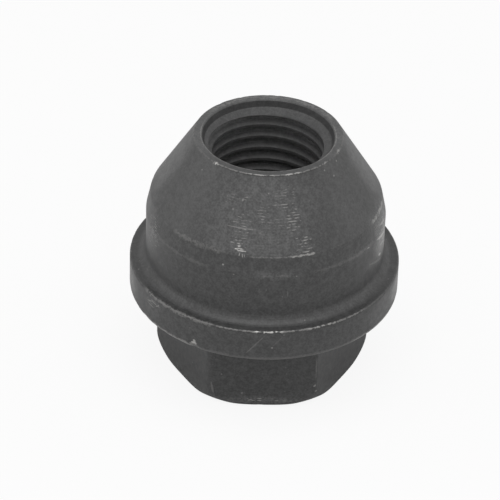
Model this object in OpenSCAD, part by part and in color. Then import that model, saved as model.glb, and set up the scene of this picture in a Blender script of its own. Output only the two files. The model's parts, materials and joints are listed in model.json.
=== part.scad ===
// Wheel lug nut: a forged and turned steel nut with a hex drive, a fixed flange,
// a cylindrical shank and a conical seat, threaded right through.
// It stands on its hex end, with the bore along +Z and the seat uppermost.

/* [Thread] */
// Nominal diameter of the thread
thread_d = 14; // [10:0.5:18]
// Pitch of the thread
thread_pitch = 1.5; // [1:0.25:2]

/* [Mouth] */
// Depth of the plain relief below the rim
relief_depth = 0.8; // [0.3:0.1:2]
// Clearance between the foot of the relief and the thread, on the radius
relief_clearance = 0.07; // [0:0.01:0.5]
// How much the relief widens from its foot to the mouth's chamfer, on the radius
relief_flare = 0.26; // [0.1:0.01:0.8]
// Chamfer on the mouth's inner edge
mouth_chamfer = 0.15; // [0.05:0.01:0.25]
// Included angle of the countersinks at both ends of the thread
countersink_angle = 110; // [80:1:130]
// How much wider the hex end's countersink is than the thread, on the radius
end_clearance = 0.4; // [0.1:0.05:1]

/* [Conical seat] */
// Width of the flat rim around the mouth
rim_w = 0.8; // [0.5:0.1:2]
// Included angle of the seat
seat_angle = 63.6; // [55:0.2:90]
// Round on the rim's outer edge
rim_edge_r = 0.1; // [0.1:0.05:0.5]

/* [Shank] */
// Diameter of the shank
shank_d = 26.9; // [24:0.1:28.6]
// Length of the cylindrical part of the shank
shank_h = 6.15; // [4:0.05:12]
// Length of the tapered band between the shank and the seat
taper_h = 2.15; // [1:0.05:4]
// How far the tapered band draws in, on the radius
taper_in = 0.46; // [0.3:0.02:1.2]
// Blend along both edges of the tapered band
blend_r = 1; // [0.2:0.1:2]

/* [Flange] */
// Diameter of the flange
flange_d = 30.5; // [29.5:0.1:36]
// Thickness of the flange
flange_h = 4.05; // [3:0.05:6]
// Fillet between the shank and the flange
fillet_r = 1.2; // [0.5:0.05:2]
// Round on the flange's upper edge
flange_upper_r = 0.2; // [0.1:0.05:0.5]
// Round on the flange's lower edge
flange_lower_r = 0.6; // [0.2:0.05:1]

/* [Hex drive] */
// Width of the hex across its flats
hex_af = 21; // [19:0.5:24]
// Length of the hex below the flange
hex_h = 9.85; // [8:0.05:16]
// How much is turned off the hex's corners, on the radius
corner_break = 0.05; // [0.05:0.01:0.5]
// Height of the crowned end of the hex at its corners
crown_h = 2.7; // [2:0.1:4]
// How far the crown draws in at the end face, on the radius
crown_in = 1.7; // [0.8:0.1:1.8]
// Round along the lower edges of the flats
flat_edge_r = 0.55; // [0.2:0.05:0.8]

/* [Hidden] */
$fn = 96;
sides = 6;
overrun = 1;
// Angle at which a round crosses the faces that it joins
lead = 3;
// Depth of an internal metric thread, as a share of its pitch
thread_depth = 5 / 8 * sqrt(3) / 2 * thread_pitch;
minor_r = thread_d / 2 - thread_depth;
relief_r = thread_d / 2 + relief_clearance;
mouth_r = relief_r + relief_flare + mouth_chamfer;
end_r = thread_d / 2 + end_clearance;
rim_r = mouth_r + rim_w;
shank_r = shank_d / 2;
taper_r = shank_r - taper_in;
flange_r = flange_d / 2;
// The fillet ends at the round on the flange's upper edge
fillet = min(fillet_r, flange_r - flange_upper_r - shank_r);
flat_r = hex_af / 2;
corner_r = flat_r / cos(180 / sides);
turned_r = corner_r - corner_break;
// The crown's arc leaves the upright corners at the lead angle and meets the end face at a steeper one
crown_r = norm([crown_in, crown_h]) / 2 / sin(atan(crown_in / crown_h) - lead);
crown_centre = [turned_r, crown_h] + crown_r * [-cos(lead), sin(lead)];
seat_h = (taper_r - rim_r) / tan(seat_angle / 2);
flange_z = hex_h;
// The hex runs up into the middle of the flange
hex_top_z = flange_z + flange_h / 2;
shank_z = flange_z + flange_h;
taper_z = shank_z + shank_h;
seat_z = taper_z + taper_h;
rim_z = seat_z + seat_h;
relief_z = rim_z - relief_depth;
thread_top_z = relief_z - (relief_r - minor_r) / tan(countersink_angle / 2);
thread_end_z = (end_r - minor_r) / tan(countersink_angle / 2);

function unit(v) = v / norm(v);

// The area between a corner and the arc that rounds it, which also reaches some way past the corner.
// The corner's edges point along a and b, and the arc crosses them at the lead angle.
module corner_cut(corner, a, b, r) {
  past = 1.5;
  half = acos(unit(a) * unit(b)) / 2;
  off = r * cos(lead);
  reach = off / tan(half);
  centre = corner + unit(unit(a) + unit(b)) * off / sin(half);
  kite = [centre, corner + unit(a) * reach, corner, corner + unit(b) * reach];
  difference() {
    polygon([for (point = kite) centre + past * (point - centre)]);
    translate(centre) circle(r);
  }
}

// Half section of everything above the hex: flange, fillet, shank, tapered band and seat
module turned_section() {
  rim_edge = [rim_r, rim_z];
  seat_edge = [taper_r, seat_z];
  shank_edge = [shank_r, taper_z];
  upper_edge = [flange_r, shank_z];
  lower_edge = [flange_r, flange_z];
  difference() {
    polygon([
      [0, flange_z],
      lower_edge,
      upper_edge,
      [shank_r, shank_z],
      shank_edge,
      seat_edge,
      rim_edge,
      [0, rim_z]
    ]);
    corner_cut(rim_edge, [-1, 0], seat_edge - rim_edge, rim_edge_r);
    corner_cut(seat_edge, rim_edge - seat_edge, shank_edge - seat_edge, blend_r);
    corner_cut(shank_edge, seat_edge - shank_edge, [0, -1], blend_r);
    corner_cut(upper_edge, [-1, 0], [0, -1], flange_upper_r);
    corner_cut(lower_edge, [-1, 0], [0, 1], flange_lower_r);
  }
  corner_cut([shank_r, shank_z], [1, 0], [0, 1], fillet);
}

// Half section that the hex is turned to: upright corners with a crowned lower end
module crown_section() {
  intersection() {
    square([turned_r, hex_top_z]);
    union() {
      square([crown_centre.x, hex_top_z]);
      translate(crown_centre) circle(crown_r);
      translate([0, crown_centre.y]) square([corner_r, hex_top_z]);
    }
  }
}

// Straight round along the lower edge of a flat that is square to +X
module flat_edge_cut() {
  translate([flat_r, 0, 0]) rotate([90, 0, 0]) linear_extrude(4 * corner_r, center = true)
    corner_cut([0, 0], [-1, 0], [0, 1], flat_edge_r);
}

// Hex with a flat square to -Y, its end crowned and its lower edges rounded
module hex_drive() {
  difference() {
    intersection() {
      cylinder(r = corner_r, h = hex_top_z, $fn = sides);
      rotate_extrude() crown_section();
    }
    for (i = [0 : sides - 1]) rotate((i + 0.5) * 360 / sides) flat_edge_cut();
  }
}

// Bore at the thread's minor diameter, countersunk at both ends and relieved at the seat end
module bore() {
  rotate_extrude() polygon([
    [0, -overrun],
    [end_r, -overrun],
    [end_r, 0],
    [minor_r, thread_end_z],
    [minor_r, thread_top_z],
    [relief_r, relief_z],
    [mouth_r - mouth_chamfer, rim_z - mouth_chamfer],
    [mouth_r, rim_z],
    [mouth_r, rim_z + overrun],
    [0, rim_z + overrun]
  ]);
}

module lug_nut() {
  color("dimgray") difference() {
    union() {
      rotate_extrude() turned_section();
      hex_drive();
    }
    bore();
  }
}

lug_nut();
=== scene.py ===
"""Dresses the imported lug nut: its forged, turned and threaded surfaces, its worn phosphate and a stage."""

import json
import math
from collections import namedtuple
from functools import reduce

import bmesh
import bpy
from bpy.props import FloatProperty, FloatVectorProperty, IntProperty, PointerProperty
from mathutils import Matrix, Vector, noise


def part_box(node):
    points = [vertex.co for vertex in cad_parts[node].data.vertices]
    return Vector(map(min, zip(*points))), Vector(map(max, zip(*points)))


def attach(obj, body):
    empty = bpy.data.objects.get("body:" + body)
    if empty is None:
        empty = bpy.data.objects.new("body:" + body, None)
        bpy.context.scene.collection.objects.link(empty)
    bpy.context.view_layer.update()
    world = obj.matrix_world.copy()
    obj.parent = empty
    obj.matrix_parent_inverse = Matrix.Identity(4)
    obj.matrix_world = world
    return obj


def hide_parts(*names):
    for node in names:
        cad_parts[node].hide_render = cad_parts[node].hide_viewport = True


bl_info = {
    "name": "Lug nut",
    "version": (1, 0, 0),
    "blender": (4, 5, 0),
    "location": "View3D > Sidebar > Lug nut",
    "description": "Builds a worn, phosphated lug nut round its solid frame, and the stage that shows it",
    "category": "Object",
}

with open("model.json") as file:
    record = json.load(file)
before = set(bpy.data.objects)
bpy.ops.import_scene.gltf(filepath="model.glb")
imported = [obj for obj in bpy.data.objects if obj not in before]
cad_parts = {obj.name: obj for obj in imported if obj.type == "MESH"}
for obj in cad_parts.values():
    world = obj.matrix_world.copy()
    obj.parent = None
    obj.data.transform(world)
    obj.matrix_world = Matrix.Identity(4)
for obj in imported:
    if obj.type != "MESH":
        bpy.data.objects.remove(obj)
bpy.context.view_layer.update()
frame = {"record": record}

MM = 0.001
NODE = "lug_nut"
SLOT = "phosphated_steel"
HAZE_AND_LIGHT_LAYER = "haze_and_painted_light"
HEX_SIDES = 6
SECTOR = 2 * math.pi / HEX_SIDES
FRONT = -math.pi / 2
WHITE = (1, 1, 1, 1)
NOISE_MIDDLE = 0.5

NODE_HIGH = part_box(NODE)[1]
MOUNTS = {mount["name"]: mount for mount in frame["record"]["mounts"]}
THREAD_R_MM = MOUNTS["stud_thread"]["dims"]["r_mm"]


def length(name, description, millimetres):
    """A size that a user may change, kept in metres."""
    metres = millimetres * MM
    return FloatProperty(name=name, description=description, default=metres, precision=5, unit="LENGTH")


def angle(name, description, degrees):
    """An angle that a user may change, kept in radians."""
    return FloatProperty(name=name, description=description, default=math.radians(degrees), subtype="ANGLE")


def colour(name, description, default):
    """A colour that a user may change."""
    return FloatVectorProperty(
        name=name, description=description, default=default, size=3, min=0, max=1, subtype="COLOR"
    )


def share(name, description, default):
    """A share from nought to one that a user may change."""
    return FloatProperty(name=name, description=description, default=default, min=0, max=1, subtype="FACTOR")


def number(name, description, default):
    """A plain number that a user may change."""
    return FloatProperty(name=name, description=description, default=default, min=0)


def power(name, description, watts):
    """A lamp's power that a user may change."""
    return FloatProperty(name=name, description=description, default=watts, min=0, unit="POWER")


class NutSizes(bpy.types.PropertyGroup):
    """Sizes of the nut, which stands on its hex end with its rim uppermost."""

    rim_z: length("Height", "From the hex end to the rim", NODE_HIGH.z / MM)
    flange_r: length("Flange radius", "Outer radius of the flange", NODE_HIGH.x / MM)
    minor_r: length("Thread minor radius", "Radius to the thread's crests", THREAD_R_MM)
    major_r: length("Thread major radius", "Radius to the thread's roots", 7)
    pitch: length("Thread pitch", "Rise of the thread in one turn", 1.5)
    crest_z: length("Crest height", "Height of the top crest's middle on the wall towards +Y", 28.53)
    relief_r: length("Relief radius", "Radius at the foot of the mouth's plain relief", 7.07)
    relief_depth: length("Relief depth", "Depth of the mouth's plain relief", 0.8)
    mouth_r: length("Mouth radius", "Radius of the mouth at the rim", 7.48)
    mouth_chamfer: length("Mouth chamfer", "Chamfer on the mouth's inner edge", 0.15)
    end_r: length("End radius", "Radius of the countersink at the hex end", 7.4)
    countersink: angle("Countersink", "Included angle of the countersinks", 110)
    rim_r: length("Rim radius", "Outer radius of the flat rim", 8.28)
    seat_r: length("Seat radius", "Radius at the seat's lower edge", 12.99)
    seat_z: length("Seat height", "Height of the seat's lower edge", 22.2)
    shank_r: length("Shank radius", "Radius of the shank", 13.45)
    taper_z: length("Taper height", "Height of the tapered band's lower edge", 20.05)
    shank_z: length("Flange top", "Height of the flange's upper face", 13.9)
    flange_z: length("Flange underside", "Height of the flange's lower face", 9.85)
    flat_r: length("Hex flat", "Distance from the axis to a flat", 10.5)
    corner_break: length("Corner break", "How much is turned off the hex's corners", 0.05)
    crown_h: length("Crown height", "Height of the hex's crowned end at its corners", 2.7)
    crown_in: length("Crown draw", "How far the crown draws in at the end face", 1.7)
    crown_lead: angle("Crown lead", "Angle at which the crown leaves the hex's corners", 3)
    flat_edge: length("Flat edge", "Round along the lower edges of the flats", 0.55)
    mouth_edge: length("Mouth edge", "Round on both edges of the mouth's chamfer", 0.04)
    rim_edge: length("Rim edge", "Round on the rim's outer edge", 0.1)
    blend: length("Blend", "Blend along both edges of the tapered band", 1)
    fillet: length("Fillet", "Fillet between the shank and the flange", 1.2)
    flange_upper: length("Flange upper edge", "Round on the flange's upper edge", 0.2)
    flange_lower: length("Flange lower edge", "Round on the flange's lower edge", 0.6)
    columns: IntProperty(name="Columns", description="Mesh columns on a side of the hex", default=64, min=9)


class FinishSettings(bpy.types.PropertyGroup):
    """The phosphate, the bare steel under it and the wear between them."""

    coat: colour("Phosphate", "Colour of the dry phosphate", (0.063, 0.063, 0.063))
    # Also the colour of the painted sheen and painted light that the hazes and the hex's end carry
    rubbed_and_lit: colour("Rubbed phosphate", "Colour of the phosphate where it is rubbed thin", (0.14, 0.14, 0.14))
    seat: colour("Seat", "Colour of the phosphate on the conical seat", (0.057, 0.057, 0.057))
    # The bore's colours carry painted shade and light: the mouth is darker as painted shade in the recess,
    # the flanks a touch darker than the crests as painted shade, and the roots lighter as painted light where
    # they lie far in shade
    mouth: colour("Mouth", "Colour of the phosphate inside the mouth", (0.034, 0.034, 0.034))
    sink: colour("Countersink", "Colour of the phosphate on the upper countersink", (0.06, 0.06, 0.06))
    crest: colour("Thread crests", "Colour of the phosphate on the thread's crests", (0.062, 0.062, 0.062))
    flank: colour("Thread flanks", "Colour of the phosphate on the thread's flanks", (0.055, 0.055, 0.055))
    root: colour("Thread roots", "Colour of the phosphate in the thread's roots", (0.22, 0.22, 0.22))
    steel: colour("Bare steel", "Colour of the steel where the phosphate is gone", (0.6, 0.59, 0.57))
    coat_roughness: share("Phosphate roughness", "Roughness of the phosphate", 0.45)
    bore_roughness: share("Bore roughness", "Roughness of the phosphate in the bore", 0.6)
    steel_roughness: share("Steel roughness", "Roughness of the bare steel", 0.34)
    gloss: share("Phosphate gloss", "Specular level of the phosphate, which is dry", 0.35)
    mottle: share("Mottle", "How far the phosphate's tone varies", 0.3)
    relief: length("Grain height", "Height of the phosphate's grain", 0.008)


class StageSettings(bpy.types.PropertyGroup):
    """Where the camera stands, and the level of the light."""

    elevation: angle("Elevation", "Height of the camera above the horizon", 34.5)
    turn: angle("Turn", "Turn of the camera round the nut", -1.245)
    roll: angle("Roll", "Tilt of the camera about its own axis", 1.762)
    distance: length("Distance", "From the camera to the point that it looks at", 350.44)
    aim_x: length("Aim X", "Sideways place of the point that the camera looks at", -1.649)
    aim_z: length("Aim Z", "Height of the point that the camera looks at", 14.233)
    lens: FloatProperty(
        name="Lens", description="Focal length on a 36 mm sensor", default=222.75, unit="CAMERA"
    )
    ambient: number("Ambient", "Strength of the even light from all round", 0.4)
    top_power: power("Top lamp", "Power of the softbox overhead", 2.35)
    left_power: power("Left lamp", "Power of the softbox on the left", 0.4)
    right_power: power("Right lamp", "Power of the softbox on the right", 0.3)
    floor_white: share("Floor white", "Share of plain white in the floor that the camera sees", 0.9)


# Section and mesh of the nut


def smooth_min(a, b, blend):
    """The smaller of two lengths, with a round where they cross."""
    overlap = max(blend - abs(a - b), 0) / blend
    return min(a, b) - overlap * overlap * blend / 4


def rounded(corners, step=math.radians(14)):
    """Points along a section. Each corner is (radius, height, round), and a round becomes an arc."""
    points = [Vector(corners[0][:2])]
    for before, (r, z, size), after in zip(corners, corners[1:], corners[2:]):
        here = Vector((r, z))
        back = (Vector(before[:2]) - here).normalized()
        on = (Vector(after[:2]) - here).normalized()
        half = back.angle(on) / 2
        centre = here + (back + on).normalized() * size / math.sin(half)
        first = here + back * size / math.tan(half) - centre
        sweep = first.angle_signed(here + on * size / math.tan(half) - centre)
        count = max(2, math.ceil(abs(sweep) / step))
        points += [centre + Matrix.Rotation(-sweep * k / count, 2) @ first for k in range(count + 1)]
    points.append(Vector(corners[-1][:2]))
    return points


def divided(points, longest, guard):
    """The same points, with long stretches divided and a guard near each end that holds the shading."""
    result = [points[0]]
    for a, b in zip(points, points[1:]):
        run = (b - a).length
        if run > 4 * guard:
            count = math.ceil((run - 2 * guard) / longest)
            result += [a.lerp(b, (guard + (run - 2 * guard) * k / count) / run) for k in range(count + 1)]
        result.append(b)
    return result


def turned_outline(s):
    """Section of the turned outside, from the foot of the mouth's relief to the flange's underside."""
    under_flange = 1.6 * MM
    corners = [
        (s.relief_r, s.rim_z - s.relief_depth, 0),
        (s.mouth_r - s.mouth_chamfer, s.rim_z - s.mouth_chamfer, s.mouth_edge),
        (s.mouth_r, s.rim_z, s.mouth_edge),
        (s.rim_r, s.rim_z, s.rim_edge),
        (s.seat_r, s.seat_z, s.blend),
        (s.shank_r, s.taper_z, s.blend),
        (s.shank_r, s.shank_z, s.fillet),
        (s.flange_r, s.shank_z, s.flange_upper),
        (s.flange_r, s.flange_z, s.flange_lower),
        (s.flange_r - under_flange, s.flange_z, 0),
    ]
    return divided(rounded(corners), longest=0.45 * MM, guard=0.05 * MM)


def hex_radius(s, turn, off, z):
    """Radius of the hex at a turn round the axis, at an angle off the middle of a flat and at a height."""
    worn_corner = math.radians(-120)
    worn_round = 0.8 * MM
    sharp_round = 0.2 * MM
    crown_round = 0.4 * MM
    least_share = 0.05
    worn = math.cos(turn - worn_corner) > math.cos(SECTOR / 2)
    corner_round = worn_round if worn else sharp_round
    inset = 0
    if z < s.flat_edge:
        inset = s.flat_edge - math.sqrt(s.flat_edge**2 - (s.flat_edge - z) ** 2)
    near = (s.flat_r - inset) / math.cos(off)
    far = (s.flat_r - inset) / math.cos(SECTOR - abs(off))
    hexed = smooth_min(near, far, corner_round)
    turned = s.flat_r / math.cos(SECTOR / 2) - s.corner_break
    if z >= s.crown_h:
        return min(hexed, turned)
    half_arc = math.atan2(s.crown_in, s.crown_h) - s.crown_lead
    arc = math.hypot(s.crown_in, s.crown_h) / 2 / math.sin(half_arc)
    below = s.crown_h + arc * math.sin(s.crown_lead) - z
    turned += math.sqrt(arc**2 - below**2) - arc * math.cos(s.crown_lead)
    return smooth_min(hexed, turned, crown_round * (1 + least_share - z / s.crown_h))


def thread_depth(s, along):
    """Depth of the thread's groove at a distance along the axis from the middle of a crest."""
    root_round = 0.1 * MM
    off = abs((along + s.pitch / 2) % s.pitch - s.pitch / 2)
    flank = max(off - s.pitch / 8, 0) * math.sqrt(3)
    return smooth_min(flank, s.major_r - s.minor_r, root_round) if flank else 0


def thread_rows(s):
    """Places along one pitch, from a crest's middle, where the thread's section turns."""
    edge = 0.05 * MM
    crest = s.pitch / 8
    root = s.pitch / 2 - s.pitch / 16
    turns = [crest - edge, crest, crest + edge, (crest + root) / 2, root - edge, root + edge / 2]
    return [0, *turns, s.pitch / 2, *(s.pitch - turn for turn in reversed(turns))]


def column_angles(s):
    """Angle of each mesh column with its angle off its own flat, closer together at the hex's corners."""
    crowding = 0.6
    result = []
    for side in range(HEX_SIDES):
        for k in range(s.columns):
            t = 2 * k / s.columns - 1
            off = SECTOR / 2 * (t + crowding * math.sin(math.pi * t) / math.pi)
            result.append((FRONT + side * SECTOR + off, off))
    return result


class Skin:
    """Collects rings of vertices and joins them into one closed surface."""

    def __init__(self):
        self.mesh = bmesh.new()

    def vertex(self, turn, r, z):
        return self.mesh.verts.new((r * math.cos(turn), r * math.sin(turn), z))

    def face(self, *corners):
        distinct = list(dict.fromkeys(corners))
        if len(distinct) > 2:
            self.mesh.faces.new(distinct)

    def band(self, upper, lower):
        """Quads between two rings of the same count."""
        for k in range(len(upper)):
            self.face(upper[k - 1], upper[k], lower[k], lower[k - 1])

    def stitch(self, fine, coarse):
        """Joins a ring to one with a third of its vertices."""
        for k in range(len(coarse)):
            a, b, c, d = (fine[(3 * k + i) % len(fine)] for i in range(4))
            here, there = coarse[k], coarse[(k + 1) % len(coarse)]
            self.face(here, a, b)
            self.face(here, b, c, there)
            self.face(there, c, d)


def outer_skin(skin, s, angles):
    """The outside, from the foot of the mouth's relief down to the rim of the end's countersink."""
    root_fillet = 0.25 * MM
    fillet_steps = 4
    wall_rows = 12
    crown_rows = 22
    crown_crowding = 1.35
    end_steps = (0.03, 0.15, 0.5, 0.9, 1)
    rings = [[(a, point.x, point.y) for a, off in angles] for point in turned_outline(s)]
    for k in range(fillet_steps + 1):
        turn = math.pi / 2 * k / fillet_steps
        z = s.flange_z - root_fillet * (1 - math.cos(turn))
        out = root_fillet * (1 - math.sin(turn))
        rings.append([(a, hex_radius(s, a, off, s.flange_z) + out, z) for a, off in angles])
    top = s.flange_z - root_fillet
    heights = [top + (s.crown_h - top) * k / wall_rows for k in range(1, wall_rows)]
    heights += [s.crown_h * (1 - k / crown_rows) ** crown_crowding for k in range(crown_rows + 1)]
    for z in heights:
        rings.append([(a, hex_radius(s, a, off, z), z) for a, off in angles])
    edge = [(a, hex_radius(s, a, off, 0)) for a, off in angles]
    for inward in end_steps:
        rings.append([(a, s.end_r + (r - s.end_r) * (1 - inward), 0) for a, r in edge])
    made = [[skin.vertex(*nicked(s, *point)) for point in ring] for ring in rings]
    for upper, lower in zip(made, made[1:]):
        skin.band(upper, lower)
    return made[0], made[-1]


def thread_skin(skin, s, angles):
    """The threaded bore between its two countersinks, as one helical sheet."""
    sink = math.tan(s.countersink / 2)
    edge = 0.03 * MM
    same_height = 0.001 * MM
    relief_z = s.rim_z - s.relief_depth
    low, high = edge, relief_z - edge
    rows = thread_rows(s)
    turns = math.ceil(s.rim_z / s.pitch) + 2
    start = math.pi / 2
    made = []
    for a, off in angles:
        crest = s.crest_z + s.pitch * ((a - start) / (2 * math.pi) - turns + 2)
        column = []
        for along in (turn * s.pitch + row for turn in range(turns + 1) for row in rows):
            z = min(max(crest + along, low), high)
            if column and abs(column[-1].co.z - z) < same_height:
                column.append(column[-1])
                continue
            r = s.minor_r + thread_depth(s, z - crest)
            column.append(skin.vertex(a, max(r, s.relief_r - (relief_z - z) * sink, s.end_r - z * sink), z))
        made.append(column)
    rise = len(rows)
    for k, column in enumerate(made):
        after = made[(k + 1) % len(made)]
        shift = rise if k == len(made) - 1 else 0
        for i in range(len(column) - 1):
            j = min(i + shift, len(column) - 2)
            skin.face(column[i], after[j], after[j + 1], column[i + 1])
    return [column[-1] for column in made], [column[0] for column in made]


Edge = namedtuple("Edge", "r z reach depth lean")


def edges_that_chip(s):
    """Edges that have taken knocks: place, reach, depth, and how far down or up a knock goes."""
    return (
        Edge(s.rim_r, s.rim_z, 0.3 * MM, 0.1 * MM, -1),
        Edge(s.seat_r, s.seat_z, 0.4 * MM, 0.07 * MM, 0),
        Edge(s.flange_r, s.shank_z, 0.4 * MM, 0.12 * MM, -1),
        Edge(s.flange_r, s.flange_z, 0.8 * MM, 0.1 * MM, 1),
    )


# A single knock, with its angle in degrees from +X, its height, half sizes and depth in millimetres
Dent = namedtuple("Dent", "angle height half_width half_height depth")

DENTS = (
    Dent(-121, 10.3, 0.65, 0.8, 0.22),
    Dent(-91.5, 0.5, 0.6, 0.6, 0.1),
    Dent(-42.5, 29.8, 0.3, 0.4, 0.06),
    Dent(52, 10.2, 0.8, 0.7, 0.15),
)


def nicked(s, turn, r, z):
    """A point of the outside, moved in where it has been knocked."""
    knock_size = 0.7 * MM
    bare_share = 0.2
    for edge in edges_that_chip(s):
        off = math.hypot(r - edge.r, z - edge.z)
        if off < edge.reach:
            place = Vector((r * math.cos(turn), r * math.sin(turn), z)) / knock_size
            knock = max(noise.noise(place) - bare_share, 0) * edge.depth * (1 - off / edge.reach)
            r -= knock
            z += knock * edge.lean
    for dent in DENTS:
        across = math.remainder(turn - math.radians(dent.angle), 2 * math.pi) * r / MM / dent.half_width
        up = (z / MM - dent.height) / dent.half_height
        r -= max(1 - math.hypot(across, up), 0) * dent.depth * MM
    return turn, r, z


def nut_mesh(s):
    """The nut as one closed surface."""
    weld = 0.0005 * MM
    skin = Skin()
    angles = column_angles(s)
    mouth, end = outer_skin(skin, s, angles)
    every_third = angles[::3]
    top, bottom = thread_skin(skin, s, every_third)
    skin.stitch(mouth, top)
    skin.stitch(end, bottom)
    bmesh.ops.remove_doubles(skin.mesh, verts=skin.mesh.verts, dist=weld)
    bmesh.ops.recalc_face_normals(skin.mesh, faces=skin.mesh.faces)
    mesh = bpy.data.meshes.new("nut_skin")
    skin.mesh.to_mesh(mesh)
    skin.mesh.free()
    mesh.shade_smooth()
    return mesh


# Shader nodes


class Shade:
    """Adds nodes to one shader tree. An input is a number or another node's output."""

    def __init__(self, tree):
        self.tree = tree

    def feed(self, socket, value):
        if isinstance(value, bpy.types.NodeSocket):
            self.tree.links.new(value, socket)
        else:
            socket.default_value = value

    def add(self, kind, settings=(), **inputs):
        node = self.tree.nodes.new(kind)
        for name, value in dict(settings).items():
            setattr(node, name, value)
        for name, value in inputs.items():
            self.feed(node.inputs[name.replace("_", " ")], value)
        return node

    def math(self, operation, *values):
        node = self.add("ShaderNodeMath", {"operation": operation})
        for socket, value in zip(node.inputs, values):
            self.feed(socket, value)
        return node.outputs["Value"]

    def ramp(self, value, low, high):
        """Nought below low, one above high, and smooth between them."""
        settings = {"interpolation_type": "SMOOTHSTEP"}
        inputs = {"Value": value, "From_Min": low, "From_Max": high}
        return self.add("ShaderNodeMapRange", settings, **inputs).outputs["Result"]

    def blend(self, factor, a, b):
        """A number that goes from a to b."""
        return self.math("MULTIPLY_ADD", factor, self.math("SUBTRACT", b, a), a)

    def scaled(self, vector, factor):
        """A vector or colour times a number."""
        inputs = {"Vector": vector, "Scale": factor}
        return self.add("ShaderNodeVectorMath", {"operation": "SCALE"}, **inputs).outputs["Vector"]

    def mixed(self, factor, a, b):
        """A colour that goes from a to b."""
        mix = self.add("ShaderNodeMix", {"data_type": "RGBA"})
        for socket, value in zip((mix.inputs[0], mix.inputs[6], mix.inputs[7]), (factor, a, b)):
            self.feed(socket, value)
        return mix.outputs[2]

    def noise(self, vector, scale, detail=2.0):
        inputs = {"Vector": vector, "Scale": scale, "Detail": detail}
        return self.add("ShaderNodeTexNoise", **inputs).outputs["Fac"]

    def place(self, group, **inputs):
        """One use of a node group."""
        node = self.tree.nodes.new("ShaderNodeGroup")
        node.node_tree = group
        for name, value in inputs.items():
            self.feed(node.inputs[name.replace("_", " ")], value)
        return node.outputs

    def largest(self, *values):
        """The largest of several masks."""
        return reduce(lambda a, b: self.math("MAXIMUM", a, b), values)


def node_group(name, inputs, outputs):
    """An empty group with named number sockets: its shade, its inputs and its output node."""
    tree = bpy.data.node_groups.new(name, "ShaderNodeTree")
    for label in inputs:
        tree.interface.new_socket(label, in_out="INPUT", socket_type="NodeSocketFloat")
    for label in outputs:
        tree.interface.new_socket(label, in_out="OUTPUT", socket_type="NodeSocketFloat")
    return Shade(tree), tree.nodes.new("NodeGroupInput").outputs, tree.nodes.new("NodeGroupOutput").inputs


def round_coordinates():
    """Group: angle round the axis in radians, with radius and height in millimetres."""
    shade, _, put = node_group("Round coordinates", [], ["Angle", "Radius", "Height"])
    local = shade.add("ShaderNodeTexCoord").outputs["Object"]
    x, y, z = shade.add("ShaderNodeSeparateXYZ", Vector=shade.scaled(local, 1 / MM)).outputs
    across = shade.math("ADD", shade.math("MULTIPLY", x, x), shade.math("MULTIPLY", y, y))
    shade.feed(put["Angle"], shade.math("ARCTAN2", y, x))
    shade.feed(put["Radius"], shade.math("SQRT", across))
    shade.feed(put["Height"], z)
    return shade.tree


# A renderer holds only so many of a shader's values at once. So each line or mark passes on the wear of those
# before it, and the broad hazes, which carry painted sheen and painted light as well as rubbing, are painted
# on the mesh.


def worn_edge():
    """Group: a ragged line of wear along a round edge at a radius and height, strongest along one arc."""
    edge_pull = 0.25
    bare_from, bare_at = 0.58, 0.76
    soft_share = 0.3
    fade_end = 4 / 3
    least_fade = 0.02
    place = ["Angle", "Radius", "Height", "Edge Radius", "Edge Height", "Middle", "Half Angle"]
    amount = ["Reach", "Breaks", "Fill", "All Round", "Strength", "Before"]
    shade, given, put = node_group("Worn edge", place + amount, ["Bare"])
    out = shade.math("SUBTRACT", given["Radius"], given["Edge Radius"])
    up = shade.math("SUBTRACT", given["Height"], given["Edge Height"])
    off = shade.math("SQRT", shade.math("MULTIPLY_ADD", out, out, shade.math("MULTIPLY", up, up)))
    near = shade.math("SUBTRACT", 1.0, shade.math("DIVIDE", off, given["Reach"]))
    turn = shade.math("WRAP", shade.math("SUBTRACT", given["Angle"], given["Middle"]), math.pi, -math.pi)
    end = shade.math("MULTIPLY_ADD", given["Half Angle"], fade_end, least_fade)
    past = shade.ramp(shade.math("ABSOLUTE", turn), given["Half Angle"], end)
    strength = shade.math("MULTIPLY", shade.math("SUBTRACT", 1.0, past), given["Strength"])
    ragged = shade.math("MULTIPLY_ADD", near, edge_pull, shade.math("ADD", given["Breaks"], given["Fill"]))
    soft = shade.ramp(near, 0.0, soft_share)
    shown = shade.math("MULTIPLY", shade.ramp(ragged, bare_from, bare_at), soft)
    worn = shade.math("MULTIPLY", shown, shade.largest(strength, given["All Round"]))
    shade.feed(put["Bare"], shade.largest(worn, given["Before"]))
    return shade.tree


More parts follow.
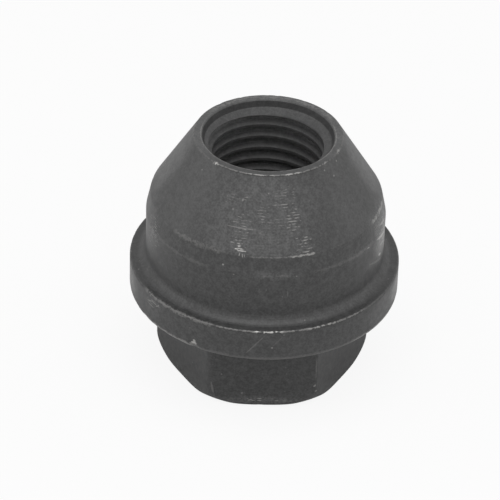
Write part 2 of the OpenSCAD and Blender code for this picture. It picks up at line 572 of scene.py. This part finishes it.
def rub_mark():
    """Group: a broken oval of bare steel, placed by angle and height and tilted about its middle."""
    middle_pull = 0.2
    bare_from, bare_at = 0.6, 0.74
    soft_share = 0.35
    place = ["Angle", "Radius", "Height", "Middle", "Level", "Half Length", "Half Width", "Tilt"]
    shade, given, put = node_group("Rub mark", place + ["Breaks", "Strength", "Before"], ["Bare"])
    turn = shade.math("WRAP", shade.math("SUBTRACT", given["Angle"], given["Middle"]), math.pi, -math.pi)
    along = shade.math("MULTIPLY", turn, given["Radius"])
    up = shade.math("SUBTRACT", given["Height"], given["Level"])
    cos = shade.math("COSINE", given["Tilt"])
    sin = shade.math("SINE", given["Tilt"])
    back = shade.math("MULTIPLY", sin, -1.0)
    u = shade.math("MULTIPLY_ADD", along, cos, shade.math("MULTIPLY", up, sin))
    v = shade.math("MULTIPLY_ADD", up, cos, shade.math("MULTIPLY", along, back))
    u = shade.math("DIVIDE", u, given["Half Length"])
    v = shade.math("DIVIDE", v, given["Half Width"])
    off = shade.math("SQRT", shade.math("MULTIPLY_ADD", u, u, shade.math("MULTIPLY", v, v)))
    near = shade.math("SUBTRACT", 1.0, off)
    ragged = shade.math("MULTIPLY_ADD", near, middle_pull, given["Breaks"])
    soft = shade.ramp(near, 0.0, soft_share)
    shown = shade.math("MULTIPLY", shade.ramp(ragged, bare_from, bare_at), soft)
    worn = shade.math("MULTIPLY", shown, given["Strength"])
    shade.feed(put["Bare"], shade.largest(worn, given["Before"]))
    return shade.tree


# Wear along an edge: how far it reaches in millimetres, how far its breaks are filled, how strong it is all
# round, and one stronger arc with its middle and half width in degrees from +X
WornEdge = namedtuple("WornEdge", "r z reach fill all_round middle half strength")

# A mark with its angle in degrees from +X, its height and half sizes in millimetres, and its tilt in degrees
Mark = namedtuple("Mark", "angle height half_length half_width tilt strength")

# Rubs, which are broken up by the lathe's feed lines
RUBS = (
    Mark(-103.5, 22.9, 1.0, 0.5, 0, 0.9),
    Mark(-104.5, 23.5, 1.5, 1.0, 0, 0.3),
    Mark(-104.5, 25.1, 2.0, 1.2, 0, 0.3),
    Mark(-114, 27.3, 1.4, 0.8, 0, 0.15),
    Mark(-104, 27.5, 1.0, 0.5, 0, 0.25),
    Mark(-94, 26.3, 1.4, 1.2, 0, 0.25),
    Mark(-81, 27, 1.6, 0.5, 0, 0.3),
    Mark(-75.2, 25.9, 1.1, 1.5, 0, 0.35),
    Mark(-76.4, 24.9, 1.1, 1.0, 0, 0.25),
    Mark(-72.3, 23.1, 1.6, 1.2, 0, 0.4),
    Mark(-80, 28, 1.8, 1.0, 0, 0.2),
    Mark(-88, 25.4, 2.2, 0.8, 0, 0.15),
    Mark(-90, 24, 4.5, 2.6, 0, 0.06),
    Mark(-160, 19.6, 2.4, 3.2, 0, 0.3),
    Mark(-14, 19.4, 2.6, 2.6, 0, 0.6),
    Mark(-6, 17.8, 1.9, 2.4, 0, 0.6),
    Mark(-9, 12, 2.6, 1.3, 0, 0.35),
    Mark(-172, 12, 2.4, 1.3, 0, 0.3),
    Mark(-22, 20.5, 2.2, 2.4, 0, 0.2),
    Mark(-144, 12.9, 2.2, 0.6, 8, 0.2),
    Mark(-93, 0.95, 2.6, 0.5, 0, 0.5),
    Mark(-76, 0.9, 1.1, 0.45, 0, 0.25),
    Mark(62, 24, 2.6, 1.4, 0, 0.35),
    Mark(118, 25.5, 2.2, 0.9, 0, 0.3),
    Mark(171, 24.2, 1.6, 0.7, 0, 0.35),
    Mark(95, 18.2, 2.8, 1.2, 6, 0.2),
    Mark(24, 12, 1.8, 0.6, 20, 0.2),
    Mark(140, 11.8, 2.0, 0.5, -15, 0.2),
)
# Scratches, nicks and specks
SCARS = (
    Mark(-94, 12.15, 2.1, 0.1, 51, 0.1),
    Mark(-84.8, 12.6, 1.1, 0.09, 49, 0.07),
    Mark(-87.1, 11.75, 0.14, 0.12, 0, 0.3),
    Mark(-80.1, 17.7, 0.55, 0.08, 90, 0.1),
    Mark(-103.7, 22.25, 0.22, 0.08, 75, 0.4),
    Mark(-102.2, 22.2, 0.24, 0.07, 105, 0.4),
    Mark(-101.2, 22.2, 0.2, 0.07, 110, 0.35),
    Mark(-105.3, 24.72, 2.3, 0.055, 0, 0.22),
    Mark(-102.8, 22.63, 0.65, 0.08, 0, 0.6),
    Mark(-103.9, 22.85, 0.35, 0.07, 0, 0.45),
    Mark(-104.2, 23.1, 0.25, 0.07, 0, 0.35),
    Mark(-147, 12.9, 0.7, 0.08, 20, 0.28),
    Mark(-144, 13.1, 0.8, 0.08, -10, 0.28),
    Mark(-141.5, 13, 0.5, 0.08, 40, 0.28),
    Mark(-146, 12.4, 0.6, 0.08, -5, 0.22),
    Mark(-121.3, 10.45, 0.65, 0.16, 0, 0.3),
    Mark(-121, 10.65, 0.45, 0.22, 0, 0.7),
    Mark(-120.8, 10.95, 0.22, 0.28, 0, 0.5),
    Mark(-106.5, 27.3, 0.18, 0.13, 60, 0.25),
    Mark(-111.5, 26.3, 0.16, 0.15, 0, 0.15),
    Mark(-111.2, 20.8, 0.15, 0.12, 0, 0.4),
    Mark(-105.7, 19.9, 0.13, 0.11, 0, 0.2),
    Mark(-30.5, 29.3, 0.13, 0.11, 0, 0.25),
    Mark(-39.1, 28.3, 0.14, 0.11, 0, 0.25),
    Mark(-45.4, 29.2, 0.12, 0.1, 0, 0.2),
    Mark(-113.9, 4.5, 0.14, 0.12, 0, 0.2),
    Mark(-102.3, 1.9, 0.17, 0.14, 40, 0.2),
    Mark(-91.5, 0.85, 0.35, 0.1, 0, 0.5),
    Mark(-97.5, 0.95, 0.3, 0.1, 15, 0.3),
    Mark(-81, 0.9, 0.25, 0.1, 0, 0.25),
    Mark(-118.5, 2.6, 1.0, 0.15, 100, 0.12),
    Mark(-60.3, 5.6, 1.7, 0.12, 90, 0.1),
    Mark(-60.8, 3.1, 0.22, 0.12, 60, 0.3),
    Mark(-59.8, 2.3, 0.22, 0.14, 0, 0.3),
    Mark(-17.3, 19.3, 2, 0.26, -15, 0.6),
    Mark(-14, 20.6, 1.5, 0.2, -12, 0.35),
    Mark(-16, 18.1, 1.2, 0.15, -15, 0.35),
    Mark(-18.7, 17, 0.6, 0.2, -20, 0.7),
    Mark(-23.4, 16.7, 2.4, 0.2, -20, 0.12),
    Mark(-33, 19.9, 0.35, 0.09, -10, 0.45),
    Mark(-13, 18.4, 3.2, 2.4, 0, 0.12),
    Mark(-11, 12, 3.6, 1.6, 0, 0.09),
    Mark(-172, 12, 3, 1.6, 0, 0.05),
    Mark(-14, 12.6, 1, 0.5, 60, 0.2),
    Mark(70, 12.4, 1.5, 0.09, 40, 0.1),
    Mark(160, 6, 1.1, 0.09, -35, 0.1),
    Mark(33, 5, 1.3, 0.09, 60, 0.1),
)
# Places where the phosphate is worn thin by rubbing. Those at the sides near 0° and 180° are also a painted
# sheen along the outline, and the one low on the front is also painted bounce light from the floor.
HAZES_AND_PAINTED_LIGHT = (
    Mark(-168, 19.4, 3.4, 4.5, 0, 0.35),
    Mark(-158, 19.2, 1.6, 1.8, 0, 0.25),
    Mark(-13, 19.4, 4.2, 4.4, 0, 1),
    Mark(-30, 12, 4, 2, 0, 0.35),
    Mark(-24, 17.1, 3.2, 0.9, -8, 0.25),
    Mark(-37, 20, 3.2, 0.7, -4, 0.25),
    Mark(-22, 22, 2.6, 1.2, 0, 0.35),
    Mark(-90, 20.2, 5, 0.9, 0, 0.15),
    Mark(-86, 20.1, 3.2, 0.7, 0, 0.35),
    Mark(-146, 12.4, 3, 1.6, 0, 0.2),
    Mark(-170, 12, 3.6, 2.4, 0, 0.7),
    Mark(-8, 12, 6, 2.6, 0, 1),
    Mark(-90, 0.8, 8, 1, 0, 0.55),
    Mark(122, 19, 4, 3, 10, 0.25),
    Mark(175, 12, 4, 1.8, 0, 0.25),
    Mark(28, 3, 3.5, 2.5, 0, 0.3),
)
# The same on the conical seat, where they end at its foot. The broad one in front and those at the sides are
# also painted light on the seat.
SEAT_HAZES_AND_PAINTED_LIGHT = (
    Mark(-95, 25.4, 8.6, 7, 0, 0.36),
    Mark(-92, 28.4, 3.6, 1.6, 0, 0.45),
    Mark(-104, 24.4, 2.2, 2.6, 0, 0.42),
    Mark(-75, 24.6, 1.8, 3, 0, 0.32),
    Mark(-110, 22.8, 3, 1.2, 0, 0.4),
    Mark(-177, 26.5, 2.6, 5, 0, 0.45),
    Mark(-3, 26.5, 2.6, 5, 0, 0.5),
    Mark(62, 25, 5, 3.5, 0, 0.35),
    Mark(128, 26, 5, 3, 0, 0.3),
)


def smooth_step(value, low, high):
    """Nought below low, one above high, and smooth between them."""
    t = min(max((value - low) / (high - low), 0), 1)
    return t * t * (3 - 2 * t)


def strongest_haze_and_light(marks, turn, r, z):
    """How far the strongest of several marks lightens the phosphate at a point, as rubbing and as painted
    sheen and light.
    """
    full_share = 0.6
    result = 0
    for mark in marks:
        along = math.remainder(turn - math.radians(mark.angle), 2 * math.pi) * r / MM
        up = z / MM - mark.height
        cos = math.cos(math.radians(mark.tilt))
        sin = math.sin(math.radians(mark.tilt))
        u = (along * cos + up * sin) / mark.half_length
        v = (up * cos - along * sin) / mark.half_width
        result = max(result, smooth_step(1 - math.hypot(u, v), 0, full_share) * mark.strength)
    return result


def paint_haze_and_light(mesh, s):
    """Stores on each vertex how far the phosphate is lighter there, from rubbing and from painted sheen and
    light.
    """
    foot_fade = 0.1 * MM
    haze_and_painted_light = mesh.attributes.new(HAZE_AND_LIGHT_LAYER, "FLOAT", "POINT")
    for vertex, item in zip(mesh.vertices, haze_and_painted_light.data):
        x, y, z = vertex.co
        turn = math.atan2(y, x)
        r = math.hypot(x, y)
        on_seat = smooth_step(z, s.seat_z - foot_fade, s.seat_z + foot_fade)
        seat_haze_and_light = on_seat * strongest_haze_and_light(SEAT_HAZES_AND_PAINTED_LIGHT, turn, r, z)
        item.value = max(strongest_haze_and_light(HAZES_AND_PAINTED_LIGHT, turn, r, z), seat_haze_and_light)


def worn_edges(s):
    """Edges that are worn bright, some of them named again for a second arc. The two on the flange's lower
    round are a painted highlight, where that round catches the floor's light.
    """
    inside = 0.05 * MM
    round_in, round_up = 0.12, 0.53
    mouth = (s.mouth_r, s.rim_z)
    flat = ((s.mouth_r + s.rim_r) / 2, s.rim_z)
    rim = (s.rim_r, s.rim_z)
    foot = (s.seat_r, s.seat_z)
    taper = (s.shank_r, s.taper_z)
    upper = (s.flange_r - inside, s.shank_z - inside)
    under_highlight = (s.flange_r - round_in * s.flange_lower, s.flange_z + round_up * s.flange_lower)
    return (
        WornEdge(*mouth, 0.14, 0.08, 0.03, -160, 30, 0.14),
        WornEdge(*mouth, 0.14, 0.08, 0.0, -25, 35, 0.14),
        WornEdge(*mouth, 0.14, 0.1, 0.0, -92, 30, 0.14),
        WornEdge(*flat, 0.45, 0, 0.0, 85, 50, 0.12),
        WornEdge(*rim, 0.14, 0.04, 0.06, -90, 45, 0.2),
        WornEdge(*rim, 0.16, 0, 0.0, -97, 9, 0.35),
        WornEdge(*rim, 0.18, 0, 0.0, -72, 5, 0.45),
        WornEdge(*rim, 0.3, 0, 0.0, -133, 1, 0.6),
        WornEdge(*rim, 0.25, 0, 0.0, -42.5, 1, 0.3),
        WornEdge(*rim, 0.25, 0, 0.0, -23, 2, 0.3),
        WornEdge(*foot, 0.14, 0.03, 0.02, -87, 9, 0.15),
        WornEdge(*foot, 0.2, 0, 0.0, -72.5, 5, 0.4),
        WornEdge(*foot, 0.4, 0.04, 0.0, -127, 12, 0.1),
        WornEdge(*foot, 0.3, 0.06, 0.0, -16, 8, 0.3),
        WornEdge(*taper, 0.3, 0.04, 0.0, -137, 14, 0.06),
        WornEdge(*taper, 0.2, 0, 0.0, -86, 5, 0.1),
        WornEdge(*taper, 0.3, 0.06, 0.0, -47, 16, 0.06),
        WornEdge(*upper, 0.17, 0.05, 0.05, -80, 30, 0.2),
        WornEdge(*upper, 0.35, 0.05, 0.0, -132, 16, 0.18),
        WornEdge(*upper, 0.2, 0.03, 0.0, -89, 5, 0.55),
        WornEdge(*upper, 0.2, 0.03, 0.0, -65, 6, 0.35),
        # A painted highlight along the flange's lower round, where it catches the floor's light
        WornEdge(*under_highlight, 0.4, 0.12, 0.07, -137, 13, 0.28),
        WornEdge(*under_highlight, 0.4, 0.12, 0.0, -34, 14, 0.2),
    )


# Where a shaded point lies: its place in millimetres, its angle, its distance from the axis and its height
Spot = namedtuple("Spot", "point angle radius height")

# Noise in the finish: fine grain, broad blotches, breaks in wear, and streaks round the axis
Noises = namedtuple("Noises", "grain blotch breaks streaks")


def shaded_spot(shade):
    """Coordinates of the shaded point."""
    local = shade.add("ShaderNodeTexCoord").outputs["Object"]
    turned = shade.place(round_coordinates())
    return Spot(shade.scaled(local, 1 / MM), turned["Angle"], turned["Radius"], turned["Height"])


def finish_noises(shade, point):
    """Noise that the phosphate and its wear share."""
    squash = (1, 1, 3)
    squashed = shade.add("ShaderNodeVectorMath", {"operation": "MULTIPLY"})
    shade.feed(squashed.inputs[0], point)
    shade.feed(squashed.inputs[1], squash)
    return Noises(
        grain=shade.noise(point, scale=4.5, detail=3.0),
        blotch=shade.noise(point, scale=1.6, detail=5.0),
        breaks=shade.noise(point, scale=3.0, detail=3.0),
        streaks=shade.noise(squashed.outputs["Vector"], scale=2.1),
    )


def round_inputs(spot):
    """Inputs of a group of wear that say where the shaded point lies."""
    return {"Angle": spot.angle, "Radius": spot.radius, "Height": spot.height}


def worn_lines(shade, s, spot, breaks):
    """Bare steel along the worn edges, and a painted highlight along the flange's lower round."""
    here = round_inputs(spot)
    edge = worn_edge()
    bare = 0.0
    for worn in worn_edges(s):
        place = {"Edge_Radius": worn.r / MM, "Edge_Height": worn.z / MM, "Reach": worn.reach}
        arc = {"Middle": math.radians(worn.middle), "Half_Angle": math.radians(worn.half)}
        amount = {"Fill": worn.fill, "All_Round": worn.all_round, "Strength": worn.strength}
        bare = shade.place(edge, **here, **place, **arc, **amount, Breaks=breaks, Before=bare)["Bare"]
    return bare


def worn_marks(shade, rub, marks, spot, broken):
    """Bare steel in a list of marks, where the noise that breaks them up lets it show."""
    here = round_inputs(spot)
    bare = 0.0
    for mark in marks:
        place = {"Middle": math.radians(mark.angle), "Level": mark.height, "Tilt": math.radians(mark.tilt)}
        size = {"Half_Length": mark.half_length, "Half_Width": mark.half_width}
        amount = {"Strength": mark.strength, "Breaks": broken, "Before": bare}
        bare = shade.place(rub, **here, **place, **size, **amount)["Bare"]
    return bare


def bare_steel(shade, s, spot, noises):
    """Where the phosphate is gone: worn edges, rubs, scars, and specks and hairlines all over. One worn edge
    is a painted highlight.
    """
    feed_mm = 0.27
    line_from, line_at = -0.2, 1.0
    scar_contrast, scar_fill = 0.5, 0.4
    speck_scale = 0.55
    speck_core, speck_edge = 0.02, 0.07
    speck_strength = 0.3
    hair_scale = 0.3
    hair_width = 0.004
    hair_from, hair_at = 0.5, 0.7
    hair_strength = 0.08
    rub = rub_mark()
    wave = shade.math("SINE", shade.math("MULTIPLY", spot.height, 2 * math.pi / feed_mm))
    feed_lines = shade.ramp(wave, line_from, line_at)
    rough = shade.math("MULTIPLY_ADD", noises.breaks, scar_contrast, scar_fill)
    lines = worn_lines(shade, s, spot, noises.breaks)
    rubs = shade.math("MULTIPLY", worn_marks(shade, rub, RUBS, spot, noises.streaks), feed_lines)
    scars = worn_marks(shade, rub, SCARS, spot, rough)
    cells = shade.add("ShaderNodeTexVoronoi", Vector=spot.point, Scale=speck_scale).outputs
    speck = shade.math("SUBTRACT", 1.0, shade.ramp(cells["Distance"], speck_core, speck_edge))
    specks = shade.math("MULTIPLY", speck, shade.math("MULTIPLY", cells["Color"], speck_strength))
    bend = shade.math("SUBTRACT", shade.noise(spot.point, hair_scale), NOISE_MIDDLE)
    hair = shade.math("SUBTRACT", 1.0, shade.ramp(shade.math("ABSOLUTE", bend), 0.0, hair_width))
    faint = shade.math("MULTIPLY", shade.ramp(noises.blotch, hair_from, hair_at), hair_strength)
    hairs = shade.math("MULTIPLY", hair, faint)
    return shade.largest(lines, rubs, scars, specks, hairs)


def thin_phosphate_and_painted_light(shade, s, spot, tone, on_rim):
    """Where the phosphate is lighter: the painted hazes, which are rubbing with painted sheen and light; the
    end of the hex, painted bounce light from the floor; and the rim, worn thin.
    """
    thin_from, thin_at = -0.6, 0.6
    end_full_mm = 0.3
    end_strength = 0.3
    rim_strength = 0.12
    painted = shade.add("ShaderNodeAttribute", {"attribute_name": HAZE_AND_LIGHT_LAYER}).outputs["Fac"]
    # The end of the hex is lightened as painted bounce light from the floor
    end_bounce_light = shade.math("MULTIPLY", shade.ramp(spot.height, s.crown_h / MM, end_full_mm), end_strength)
    haze_and_painted_light = shade.math("MULTIPLY", shade.largest(painted, end_bounce_light), shade.ramp(tone, thin_from, thin_at))
    return shade.largest(haze_and_painted_light, shade.math("MULTIPLY", on_rim, rim_strength))


def painted_shade_on_phosphate(shade, s, spot, on_rim):
    """Painted shade on the phosphate: darker on the flange's top, in its fillet at the sides, and on the rim
    in front.
    """
    land_off_mm, land_near_mm = 0.4, 0.1
    land_from_mm, land_at_mm = 0.4, 0.95
    fillet_top_mm, fillet_full_mm = 0.9, 0.3
    slack_mm = 0.02
    side_from, side_at = 0.6, 0.95
    front_from, front_at = -0.3, -0.8
    fillet_strength = 0.55
    land = s.shank_z / MM
    shank = s.shank_r / MM
    # Painted shade: the flange's top is darkened where the shank shades it and is mirrored in it
    off_land = shade.math("ABSOLUTE", shade.math("SUBTRACT", spot.height, land))
    past_fillet = shade.ramp(spot.radius, shank + land_from_mm, shank + land_at_mm)
    on_land = shade.math("MULTIPLY", shade.ramp(off_land, land_off_mm, land_near_mm), past_fillet)
    aside = shade.ramp(shade.math("ABSOLUTE", shade.math("COSINE", spot.angle)), side_from, side_at)
    low = shade.ramp(spot.height, land + fillet_top_mm, land + fillet_full_mm)
    above_flange = shade.math("GREATER_THAN", spot.height, land - slack_mm)
    on_fillet = shade.math("MULTIPLY", shade.math("MULTIPLY", low, aside), above_flange)
    # Painted shade on the rim in front
    in_front = shade.ramp(shade.math("SINE", spot.angle), front_from, front_at)
    on_front_rim = shade.math("MULTIPLY", on_rim, in_front)
    return shade.largest(on_land, shade.math("MULTIPLY", on_fillet, fillet_strength), on_front_rim)


def outer_phosphate(shade, s, finish, spot, tone):
    """Colour of the phosphate on the outside, with its painted light and painted shade."""
    painted_shade_share = 0.68
    foot_fade_mm = 0.1
    slack_mm = 0.02
    shaded_coat = [painted_shade_share * channel for channel in finish.coat]
    foot = s.seat_z / MM
    rim_foot = (s.rim_z - s.mouth_chamfer) / MM
    on_seat = shade.ramp(spot.height, foot - foot_fade_mm, foot + foot_fade_mm)
    on_rim = shade.math("GREATER_THAN", spot.height, rim_foot - slack_mm)
    coat = shade.mixed(on_seat, (*finish.coat, 1), (*finish.seat, 1))
    coat = shade.mixed(thin_phosphate_and_painted_light(shade, s, spot, tone, on_rim), coat, (*finish.rubbed_and_lit, 1))
    return shade.mixed(painted_shade_on_phosphate(shade, s, spot, on_rim), coat, (*shaded_coat, 1))


def bore_phosphate_light_and_shade(shade, s, finish, spot):
    """Colour in the mouth, on the countersink and on the thread, with painted shade and light: a darker
    mouth, flanks a touch darker than the crests, and roots lightened where they lie far in shade.
    """
    flank_from_mm, flank_at_mm = 0.2, 0.75
    root_height_mm = 0.4
    sink_top = s.rim_z - s.relief_depth
    sink_foot = sink_top - (s.relief_r - s.minor_r) / math.tan(s.countersink / 2)
    minor = s.minor_r / MM
    major = s.major_r / MM
    on_flank = shade.ramp(spot.radius, minor + flank_from_mm, minor + flank_at_mm)
    # Painted light in the roots, and painted shade on the flanks
    in_root = shade.ramp(spot.radius, major - root_height_mm, major)
    thread = shade.mixed(on_flank, (*finish.crest, 1), (*finish.flank, 1))
    thread = shade.mixed(in_root, thread, (*finish.root, 1))
    below_mouth = shade.math("LESS_THAN", spot.height, sink_top / MM)
    below_sink = shade.math("LESS_THAN", spot.height, sink_foot / MM)
    bore = shade.mixed(below_mouth, (*finish.mouth, 1), (*finish.sink, 1))
    return shade.mixed(below_sink, bore, thread)


def steel_with_phosphate(s, finish):
    """Dark phosphate with a mottled grain, worn through to bare steel on edges and in marks, with painted
    light and painted shade.
    """
    grain_share = 0.9
    blotch_share = 0.7
    dark_tone, light_tone = 0.05, 0.65
    roughness_range = 0.2
    bump_strength = 0.5
    material = bpy.data.materials.new(SLOT)
    material.use_nodes = True
    shade = Shade(material.node_tree)
    shader = material.node_tree.nodes["Principled BSDF"]
    spot = shaded_spot(shade)
    noises = finish_noises(shade, spot.point)
    grain = shade.math("SUBTRACT", noises.grain, NOISE_MIDDLE)
    tone = shade.math("MULTIPLY_ADD", grain, grain_share, shade.math("MULTIPLY", noises.blotch, blotch_share))
    outside = shade.math("GREATER_THAN", spot.radius, (s.mouth_r - s.mouth_chamfer) / MM)
    inside = shade.math("SUBTRACT", 1.0, outside)
    # Bare steel, with a painted highlight along the flange's lower round
    bare = shade.math("MULTIPLY", bare_steel(shade, s, spot, noises), outside)
    coat = outer_phosphate(shade, s, finish, spot, tone)
    coat = shade.mixed(inside, coat, bore_phosphate_light_and_shade(shade, s, finish, spot))
    mottle = shade.blend(shade.ramp(tone, dark_tone, light_tone), 1 - finish.mottle, 1 + finish.mottle)
    coat = shade.scaled(coat, mottle)
    shade.feed(shader.inputs["Base Color"], shade.mixed(bare, coat, (*finish.steel, 1)))
    shade.feed(shader.inputs["Metallic"], bare)
    shader.inputs["Specular IOR Level"].default_value = finish.gloss
    dry = shade.blend(inside, finish.coat_roughness, finish.bore_roughness)
    dull = shade.math("MULTIPLY_ADD", grain, roughness_range, dry)
    shade.feed(shader.inputs["Roughness"], shade.blend(bare, dull, finish.steel_roughness))
    bump = shade.add("ShaderNodeBump", Strength=bump_strength, Distance=finish.relief, Height=noises.grain)
    shade.feed(shader.inputs["Normal"], bump.outputs["Normal"])
    return material


class NUT_OT_add_nut(bpy.types.Operator):
    """Builds the nut's surface with its thread, and gives it its finish"""

    bl_idname = "lug_nut.add_nut"
    bl_label = "Add the nut"

    def execute(self, context):
        scene = context.scene
        mesh = nut_mesh(scene.nut_sizes)
        paint_haze_and_light(mesh, scene.nut_sizes)
        nut = bpy.data.objects.new("nut_skin", mesh)
        scene.collection.objects.link(nut)
        nut.data.materials.append(steel_with_phosphate(scene.nut_sizes, scene.nut_finish))
        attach(nut, "root")
        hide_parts(NODE)
        return {"FINISHED"}


# Stage


def add_camera(scene, stage):
    """The camera at the photograph's viewing angle."""
    sensor_mm = 36
    nearest = 0.01
    farthest = 20
    data = bpy.data.cameras.new("camera")
    data.sensor_width = sensor_mm
    data.lens = stage.lens
    data.clip_start = nearest
    data.clip_end = farthest
    turn = Matrix.Rotation(stage.turn, 3, "Z")
    aim = turn @ Vector((stage.aim_x, 0, stage.aim_z))
    look = turn @ Vector((0, math.cos(stage.elevation), -math.sin(stage.elevation)))
    level = turn @ Vector((1, 0, 0))
    upright = level.cross(look)
    right = level * math.cos(stage.roll) + upright * math.sin(stage.roll)
    up = upright * math.cos(stage.roll) - level * math.sin(stage.roll)
    camera = bpy.data.objects.new("camera", data)
    axes = Matrix((right, up, -look)).transposed().to_4x4()
    camera.matrix_world = Matrix.Translation(aim - look * stage.distance) @ axes
    scene.collection.objects.link(camera)
    scene.camera = camera


# A square lamp, with its place and width in metres
Softbox = namedtuple("Softbox", "name place width")

TOP = Softbox("top_softbox", Vector((0, -0.16, 0.59)), 0.6)
LEFT = Softbox("left_softbox", Vector((-0.5, 0, 0.18)), 0.3)
RIGHT = Softbox("right_softbox", Vector((0.5, 0, 0.18)), 0.3)


def add_softbox(scene, softbox, aim, watts):
    """A broad lamp that faces a point."""
    light = bpy.data.lights.new(softbox.name, "AREA")
    light.shape = "SQUARE"
    light.size = softbox.width
    light.energy = watts
    lamp = bpy.data.objects.new(softbox.name, light)
    lamp.location = softbox.place
    lamp.rotation_euler = (aim - softbox.place).to_track_quat("-Z", "Y").to_euler()
    scene.collection.objects.link(lamp)


def seen_directly_or_in_gloss(shade):
    """One for camera, glossy and transmission rays, nought for the light that falls on matt surfaces."""
    ray = shade.add("ShaderNodeLightPath").outputs
    return shade.largest(ray["Is Camera Ray"], ray["Is Glossy Ray"], ray["Is Transmission Ray"])


def add_floor(scene, stage):
    """A pale floor that runs far past the view and keeps the nut's shadow."""
    half = 3.0
    level = -0.01 * MM
    grey = (0.8, 0.8, 0.8, 1)
    roughness = 0.9
    corners = [(-half, -half, level), (half, -half, level), (half, half, level), (-half, half, level)]
    mesh = bpy.data.meshes.new("floor")
    mesh.from_pydata(corners, [], [(0, 1, 2, 3)])
    floor = bpy.data.objects.new("floor", mesh)
    scene.collection.objects.link(floor)
    material = bpy.data.materials.new("pale_floor")
    material.use_nodes = True
    tree = material.node_tree
    shade = Shade(tree)
    paint = tree.nodes["Principled BSDF"]
    paint.inputs["Base Color"].default_value = grey
    paint.inputs["Roughness"].default_value = roughness
    paint.inputs["Specular IOR Level"].default_value = 0
    white = shade.add("ShaderNodeEmission", Color=WHITE, Strength=1.0)
    camera_ray = shade.add("ShaderNodeLightPath").outputs["Is Camera Ray"]
    seen = shade.math("MULTIPLY", camera_ray, stage.floor_white)
    mixed = shade.add("ShaderNodeMixShader")
    shade.feed(mixed.inputs[0], seen)
    shade.feed(mixed.inputs[1], paint.outputs["BSDF"])
    shade.feed(mixed.inputs[2], white.outputs["Emission"])
    shade.feed(tree.nodes["Material Output"].inputs["Surface"], mixed.outputs["Shader"])
    floor.data.materials.append(material)


def add_world(scene, stage):
    """Even light all round, with a white background in view and in gloss."""
    world = bpy.data.worlds.new("studio")
    world.use_nodes = True
    tree = world.node_tree
    shade = Shade(tree)
    even = tree.nodes["Background"]
    even.inputs["Color"].default_value = WHITE
    even.inputs["Strength"].default_value = stage.ambient
    white = shade.add("ShaderNodeBackground", Color=WHITE, Strength=1.0)
    mixed = shade.add("ShaderNodeMixShader")
    shade.feed(mixed.inputs[0], seen_directly_or_in_gloss(shade))
    shade.feed(mixed.inputs[1], even.outputs["Background"])
    shade.feed(mixed.inputs[2], white.outputs["Background"])
    shade.feed(tree.nodes["World Output"].inputs["Surface"], mixed.outputs["Shader"])
    scene.world = world


class NUT_OT_add_stage(bpy.types.Operator):
    """Adds the floor, the lamps, the world and the camera"""

    bl_idname = "lug_nut.add_stage"
    bl_label = "Add the stage"

    def execute(self, context):
        scene = context.scene
        stage = scene.nut_stage
        scene.view_settings.view_transform = "Standard"
        add_camera(scene, stage)
        add_floor(scene, stage)
        add_world(scene, stage)
        centre = Vector((0, 0, scene.nut_sizes.rim_z / 2))
        add_softbox(scene, TOP, centre, stage.top_power)
        add_softbox(scene, LEFT, centre, stage.left_power)
        add_softbox(scene, RIGHT, centre, stage.right_power)
        return {"FINISHED"}


class NUT_PT_panel(bpy.types.Panel):
    """Lists what the add-on makes, with its settings"""

    bl_idname = "NUT_PT_panel"
    bl_label = "Lug nut"
    bl_space_type = "VIEW_3D"
    bl_region_type = "UI"
    bl_category = "Lug nut"

    def draw(self, context):
        scene = context.scene
        for operator in (NUT_OT_add_nut, NUT_OT_add_stage):
            self.layout.operator(operator.bl_idname)
        for settings in (scene.nut_sizes, scene.nut_finish, scene.nut_stage):
            box = self.layout.box()
            for name in settings.__annotations__:
                box.prop(settings, name)


CLASSES = (NutSizes, FinishSettings, StageSettings, NUT_OT_add_nut, NUT_OT_add_stage, NUT_PT_panel)


def register():
    for cls in CLASSES:
        bpy.utils.register_class(cls)
    bpy.types.Scene.nut_sizes = PointerProperty(type=NutSizes)
    bpy.types.Scene.nut_finish = PointerProperty(type=FinishSettings)
    bpy.types.Scene.nut_stage = PointerProperty(type=StageSettings)


def unregister():
    del bpy.types.Scene.nut_stage
    del bpy.types.Scene.nut_finish
    del bpy.types.Scene.nut_sizes
    for cls in reversed(CLASSES):
        bpy.utils.unregister_class(cls)


def main():
    register()
    bpy.ops.lug_nut.add_nut()
    bpy.ops.lug_nut.add_stage()


if __name__ == "__main__":
    main()
